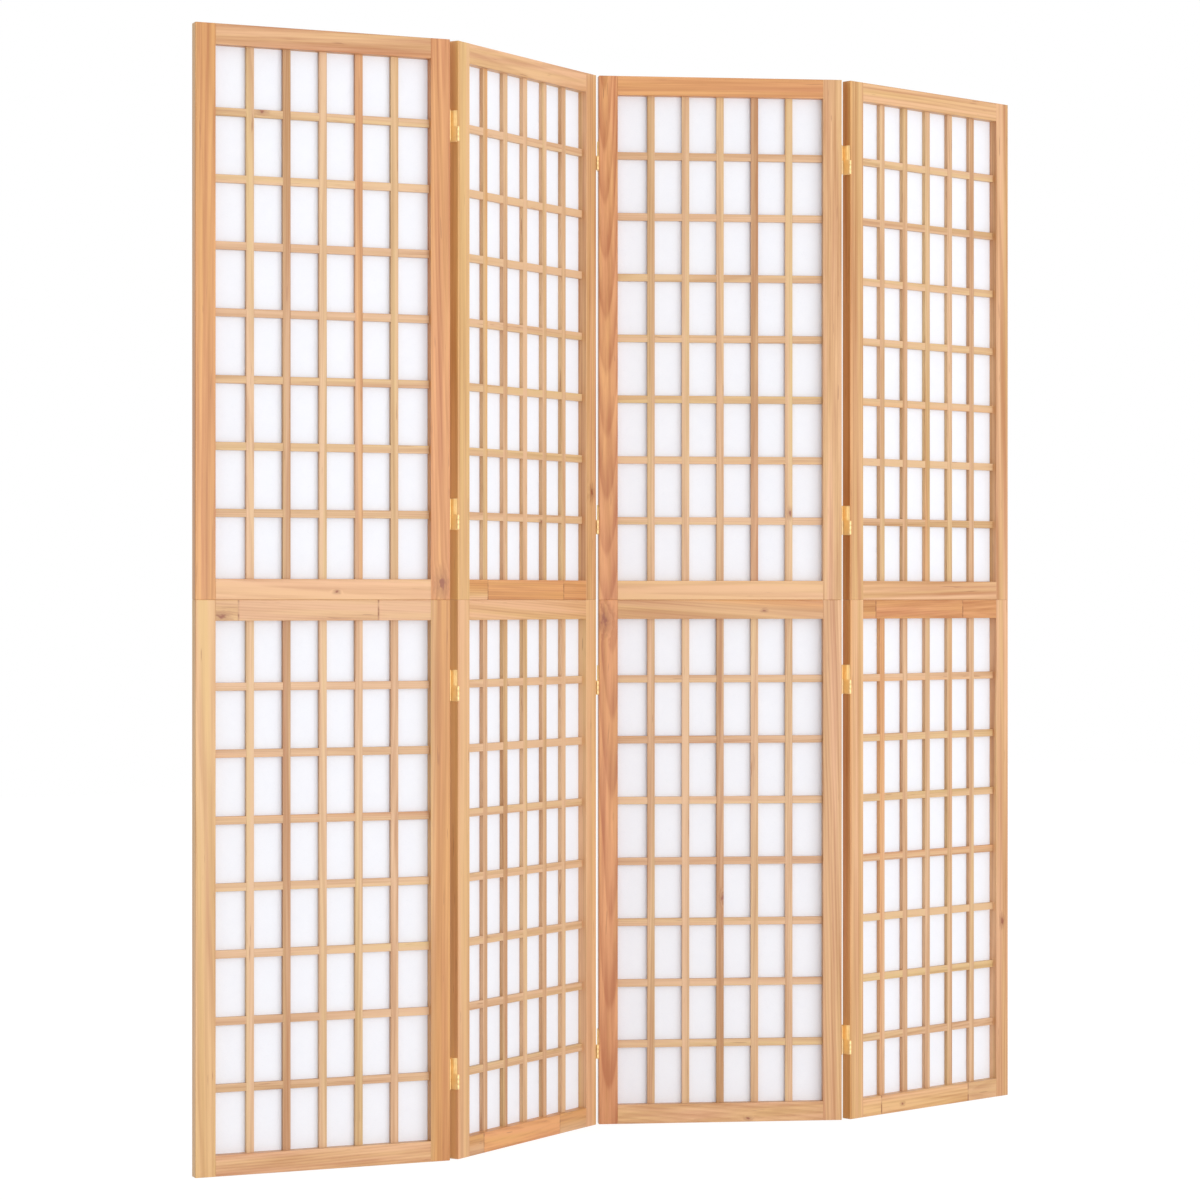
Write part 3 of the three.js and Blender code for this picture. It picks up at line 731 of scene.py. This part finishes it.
# Fine scratches from the tumbling drum, drawn 0.4 mm apart, and slow stains of 8 mm.
scratch_place = add(tree, "VectorMath", [place, (2500, 2500, 260)], "MULTIPLY")
scratches = add(tree, "TexNoise", {"Vector": scratch_place, "Scale": 1, "Detail": 2})
stains = add(tree, "TexNoise", {"Vector": place, "Scale": 120, "Detail": 3})
stain_share = add(tree, "MapRange", [stains, 0.4, 0.75, 0, 0.6])
brass_colour = add(tree, "Mix", {0: stain_share, 6: linear(BRASS), 7: linear(BRASS_DULL)},
                   data_type="RGBA")
brass_gloss = add(tree, "MapRange", [scratches, 0.3, 0.7, 0.52, 0.66])
bump = add(tree, "Bump", {"Strength": 0.3, "Distance": 0.01 * MM, "Height": scratches})
metal = add(tree, "BsdfPrincipled", {"Base Color": brass_colour, "Metallic": 0.72,
            "Roughness": brass_gloss, "Normal": bump})
add(tree, "OutputMaterial", {"Surface": metal})
print("brass has", len(tree.nodes), "nodes")

# %% Blanks
# A hinge's own axes: x from the left panel's edge at 0 to the right panel's at 4.4, y from the
# panels' front at 0 to their back at 18, and z from the hinge's middle.
PANEL_GAP, SHEET_METAL = 4.4, 1.0
BARREL_X, BACK_PIN_Y, ROLL_RADIUS = 2.2, 19.0, 1.6166
PLATE_ENDS = (1.5166, 16.4834)
LEAF_X, LINK_X = 0.8, 2.2
HALF_HINGE, CORNER_RADIUS = 24.0, 2.0
ROLL_DEGREES = 318  # how far a tab is rolled round its pin
LINK_SHORT = 4.0  # how far each half of the link's plate keeps from the other half's barrel
KNUCKLES = np.array([[1.0, 8.0667], [8.4667, 15.5333], [15.9333, 23.0]])


def rolled_tab(plate_x, roll_side):
    """The middle line of a tab at the back pin, from the plate's end: it swings over to the side
    of the pin, x + (x1 - x) (3 t^2 - 2 t^3) for t from 0 to 1, and then runs round the pin at the
    centre plus the radius times (roll_side cos a, sin a)."""
    t = np.linspace(0, 1, 7)[1:]
    start_y, end_x = PLATE_ENDS[1], BARREL_X + roll_side * ROLL_RADIUS
    swing = np.stack([plate_x + (end_x - plate_x) * (3 * t**2 - 2 * t**3),
                      start_y + (BACK_PIN_Y - start_y) * t], axis=1)
    a = np.radians(np.linspace(0, ROLL_DEGREES, 22))[1:]
    roll = np.stack([BARREL_X + roll_side * ROLL_RADIUS * np.cos(a),
                     BACK_PIN_Y + ROLL_RADIUS * np.sin(a)], axis=1)
    return np.concatenate([swing, roll])


def blank(line, heights, kept, squeeze=1.0):
    """Points and faces of a sheet along a middle line of (x, y), at each height, with only the
    cells that are kept. squeeze scales the heights at each point of the line, for round corners."""
    z = heights * np.broadcast_to(squeeze, len(line))[:, None]
    xy = np.broadcast_to(line[:, None], (*z.shape, 2))
    points = np.concatenate([xy, z[..., None]], axis=-1).reshape(-1, 3)
    index = np.arange(len(points)).reshape(z.shape)
    cells = np.stack([index[:-1, :-1], index[1:, :-1], index[1:, 1:], index[:-1, 1:]], -1)
    return points, cells[kept]


def corner_squeeze(distance):
    """How much of the half height is left at a distance from a plate's free edge whose corners
    are rounded: the height less r - sqrt(r^2 - (r - d)^2) within the corner's radius r."""
    inside = np.clip(CORNER_RADIUS - distance, 0, CORNER_RADIUS)
    return 1 - (CORNER_RADIUS - np.sqrt(CORNER_RADIUS**2 - inside**2)) / HALF_HINGE


leaf_rows = np.array([-HALF_HINGE, -HALF_HINGE / 2, 0, *KNUCKLES.ravel(), HALF_HINGE])
row_middle = (leaf_rows[:-1] + leaf_rows[1:]) / 2
free_edge = PLATE_ENDS[0] + np.array([0, 0.1, 0.3, 0.6, 1.0, 1.5, 2.0])
plate_y = np.concatenate([free_edge, [6.0, 12.0, PLATE_ENDS[1]]])
plate_line = np.column_stack([LEAF_X + 0 * plate_y, plate_y])
leaf_line = np.concatenate([plate_line, rolled_tab(LEAF_X, -1)])
in_knuckle = [(row_middle > low) & (row_middle < high) for low, high in KNUCKLES]
leaf_kept = np.ones((len(leaf_line) - 1, len(row_middle)), bool)
leaf_kept[len(plate_y) - 1:] = in_knuckle[0] | in_knuckle[2]
leaf_points, leaf_cells = blank(leaf_line, leaf_rows, leaf_kept,
                                corner_squeeze(leaf_line[:, 1] - PLATE_ENDS[0]))

# The link: its upper half reaches the back barrel and its lower half the front one, which is the
# back one turned half round about the hinge's middle.
back_tab = rolled_tab(LINK_X, 1)
front_tab = ((PANEL_GAP, PANEL_THICKNESS) - back_tab)[::-1]
link_plate = np.array([PLATE_ENDS[0], 2.6, 4.0, 9.0, 14.0, 15.4, PLATE_ENDS[1]])
link_line = np.concatenate([front_tab, np.column_stack([LINK_X + 0 * link_plate, link_plate]),
                            back_tab])
link_rows = np.unique(np.concatenate([leaf_rows, -leaf_rows]))
link_middle = (link_rows[:-1] + link_rows[1:]) / 2
column = np.arange(len(link_line) - 1)[:, None]
first, last = len(front_tab), len(front_tab) + len(link_plate) - 1
column_y = (link_line[:-1, 1] + link_line[1:, 1])[:, None] / 2
low, high = KNUCKLES[1]
in_plate = (column >= first) & (column < last)
link_kept = (
    ((column >= last) & (link_middle > low) & (link_middle < high))
    | ((column < first) & (link_middle < -low) & (link_middle > -high))
    | (in_plate & (link_middle > 0) & (column_y > LINK_SHORT))
    | (in_plate & (link_middle < 0) & (column_y < PANEL_THICKNESS - LINK_SHORT))
)
link_points, link_cells = blank(link_line, link_rows, link_kept)
print("cells in a leaf's blank:", len(leaf_cells), "and in a link's:", len(link_cells))

# %% [markdown]
# Pins and screws are turned on a lathe, so each is a profile spun round an axis. A pin has a low
# domed head at both ends. A screw's countersunk head lies flush in its leaf and has a cross recess,
# which is a dent in the spun surface wherever a point is close to one of two crossing lines.

# %% Pins and screws
def spun(profile, sides, recess=None):
    """A closed surface of revolution about z: (r cos a, r sin a, z) over the profile's (r, z)
    and a full turn of angles a. recess maps (x, y, z) to how far z is pushed down there."""
    a = np.linspace(0, 2 * np.pi, sides, endpoint=False)
    r, z = profile[:, :1], profile[:, 1:]
    points = np.stack([r * np.cos(a), r * np.sin(a), np.broadcast_to(z, (len(r), sides))], axis=-1)
    if recess is not None:
        points[..., 2] -= recess(points[..., 0], points[..., 1], z)
    return points


PIN_RADIUS, PIN_HEAD = 1.05, 1.5
dome = np.array([[0, 0.42], [0.75, 0.48], [1.25, 0.66], [PIN_HEAD, 0.93], [PIN_HEAD, 1.0],
                 [PIN_RADIUS, 1.0]])
pin_profile = np.concatenate([dome, (dome * (1, -1) + (0, HALF_HINGE))[::-1]])
pin_rings = spun(pin_profile, 16)

SCREW_HEAD, SCREW_SHANK, SCREW_LENGTH = 2.7, 1.25, 14.0


def cross_recess(x, y, z):
    """How deep a cross recess is at (x, y): full on either of two lines 0.6 mm wide, out to
    1.5 mm from the axis, and nothing below the head's top."""
    on_line = np.minimum(np.abs(x), np.abs(y)) < 0.3
    return 0.8 * (on_line & (np.hypot(x, y) < 1.5) & (z > 0))


screw_profile = np.array([
    [0, -SCREW_LENGTH], [0.5, -SCREW_LENGTH + 1.2], [SCREW_SHANK, -SCREW_LENGTH + 4],
    [SCREW_SHANK, -1.6], [SCREW_HEAD, 0.0], [SCREW_HEAD - 0.1, 0.06], [2.1, 0.12], [1.6, 0.16],
    [1.3, 0.18], [0.9, 0.2], [0.4, 0.2], [0.0, 0.2]])
screw_rings = spun(screw_profile, 32, cross_recess)
print("pin:", pin_rings.shape, "screw:", screw_rings.shape)

# %% [markdown]
# A leaf and its pin and screws belong to one panel, and the link rides between two. So each is put
# in the axes of the body that it rides on: the left leaf at its panel's right edge, the right leaf
# at its panel's left edge, and the link turned with the panels' fold about the back pin.

# %% Hinges
HINGE_HEIGHTS = (1570.3, 980.3, 720.0, 130.0)
# Each line's back pin, and how far its links are turned.
LINK_PLACES = {"12": (-372.1834, -74.729, 25.51197), "23": (-7.2143, 99.4459, 25.51197),
               "34": (372.8339, -79.7747, 10.41197)}
SCREW_HEIGHTS = (-15.0, 15.0)
# A hinge's two sides, with the way in which their faces run, because the right side is mirrored.
SIDES = {"left": 1, "right": -1}
# The pieces that are turned on a lathe, in a hinge's axes, and their names on each side.
lathe_pieces = [({"left": "back_pin", "right": "front_pin"},
                 pin_rings + (BARREL_X, BACK_PIN_Y, 0))]
for count, z in enumerate(SCREW_HEIGHTS, 1):
    lathe_pieces.append(({side: f"{side}_screw_{count}" for side in SIDES},
                         screw_rings[..., [2, 0, 1]]
                         + (LEAF_X + SHEET_METAL / 2, PANEL_THICKNESS / 2, z)))


def on_side(points, side, number, height):
    """Points from a hinge's axes to the row's, on the panel at its left or at its right. The right
    side is the left one with each axis reversed about the hinge's middle point."""
    if side == "right":
        points = (PANEL_GAP, PANEL_THICKNESS, 0) - points
    edge_x = PANEL_WIDTH if side == "left" else -PANEL_GAP
    return turned(points + (edge_x, 0, height), *PANEL_PLACES[number])


def plate_piece(name, points, cells, body, node):
    """A blank as a piece, with its thickness and slightly broken edges."""
    mesh = new_mesh(name, points, cells.tolist(), smooth=True, closed=False)
    mesh.set_sharp_from_angle(angle=np.radians(40))
    piece = put(mesh, body, plated, node)
    thick = piece.modifiers.new("thickness", "SOLIDIFY")
    thick.thickness, thick.offset, thick.use_even_offset = SHEET_METAL * MM, 0, True
    edges = piece.modifiers.new("broken_edges", "BEVEL")
    edges.width, edges.segments, edges.limit_method = 0.12 * MM, 1, "ANGLE"
    edges.angle_limit = np.radians(50)


for line, (pin_x, pin_y, yaw) in LINK_PLACES.items():
    sides = [(side, way, int(number)) for (side, way), number in zip(SIDES.items(), line)]
    for count, height in enumerate(HINGE_HEIGHTS, 1):
        hinge = f"hinge_{line}_{count}"
        for side, way, number in sides:
            plate_piece(f"{hinge}_{side}_plate", on_side(leaf_points, side, number, height),
                        leaf_cells[:, ::way], f"panel_{number}", f"{hinge}_{side}_leaf")
        from_pin = link_points - (BARREL_X, BACK_PIN_Y, 0)
        plate_piece(f"{hinge}_link_plate", turned(from_pin, pin_x, pin_y, yaw, height), link_cells,
                    f"links_{line}", f"{hinge}_link")
        for names, rings in lathe_pieces:
            for side, way, number in sides:
                points = on_side(rings[:, ::way], side, number, height)
                mesh = new_mesh(f"{hinge}_{names[side]}", points, skin(points), smooth=True)
                mesh.set_sharp_from_angle(angle=np.radians(35))
                put(mesh, f"panel_{number}", plated, f"{hinge}_{side}_leaf")
print(len(pieces), "pieces with the hinges, open edges:", open_edges)

# %% [markdown]
# ## Floor and light
#
# The photograph is a cut-out on pure white, lit very softly and a little from the right. A large
# plain floor catches the screen's faint shadow. Seen by the camera it is mostly its own white, with
# a share of real light so that the shadow stays. The world is the white room around it.

# %% Floor
FLOOR_REACH = 9.0  # m from the middle of the floor to its sides
FLOOR_OWN, FLOOR_WHITE = 0.78, 1.12  # the share of its own white, and how white that is


def seen_directly(tree):
    """1 for the rays in which a white background is seen, from the camera, off gloss or through
    glass, and 0 for the rest: the greatest of the three kinds' own values."""
    paths = add(tree, "LightPath").outputs
    seen = paths["Is Camera Ray"]
    for kind in ("Is Glossy Ray", "Is Transmission Ray"):
        seen = add(tree, "Math", [seen, paths[kind]], "MAXIMUM")
    return seen


corners = np.array([[-1, -1, 0], [1, -1, 0], [1, 1, 0], [-1, 1, 0]]) * FLOOR_REACH
floor_mesh = new_mesh("floor", corners, [[0, 1, 2, 3]], closed=False)
shown("floor", floor_mesh)

floor_white, tree = new_material("painted_white_floor")
own_white = add(tree, "Math", [seen_directly(tree), FLOOR_OWN], "MULTIPLY")
lit_floor = add(tree, "BsdfDiffuse", {"Color": linear("f4f4f4")})
white = add(tree, "Emission", {"Color": (1, 1, 1, 1), "Strength": FLOOR_WHITE})
floor_mix = add(tree, "MixShader", [own_white, lit_floor, white])
add(tree, "OutputMaterial", {"Surface": floor_mix})
floor_mesh.materials.append(floor_white)
print("floor", 2 * FLOOR_REACH, "m wide")

# %% World and lamps
world = bpy.data.worlds.new("white_room")
bpy.context.scene.world = world
world.use_nodes = True
tree = world.node_tree
tree.nodes.clear()
ROOM_LIGHT = 0.835
strength = add(tree, "MapRange", [seen_directly(tree), 0, 1, ROOM_LIGHT, 1])
room = add(tree, "Background", {"Color": (1, 1, 1, 1), "Strength": strength})
add(tree, "OutputWorld", {"Surface": room})


def lamp(name, place, target, size, watts):
    """A square soft box at place that faces target."""
    data = bpy.data.lights.new(name, "AREA")
    data.size, data.energy = size, watts
    made = shown(name, data)
    made.location = place
    away = np.array(place, float) - target
    heading = np.arctan2(away[1], away[0]) + np.pi / 2
    made.rotation_euler = (np.arctan2(np.hypot(*away[:2]), away[2]), 0, heading)


lamp("key_soft_box", (2.1, -6.0, 1.0), (0, 0, 0.85), 4.0, 136)
lamp("low_fill", (-1.0, -6.5, 0.3), (0, 0, 0.3), 1.6, 128)

bpy.context.scene.view_settings.view_transform = "Standard"
print("world at", ROOM_LIGHT, "and two soft boxes")
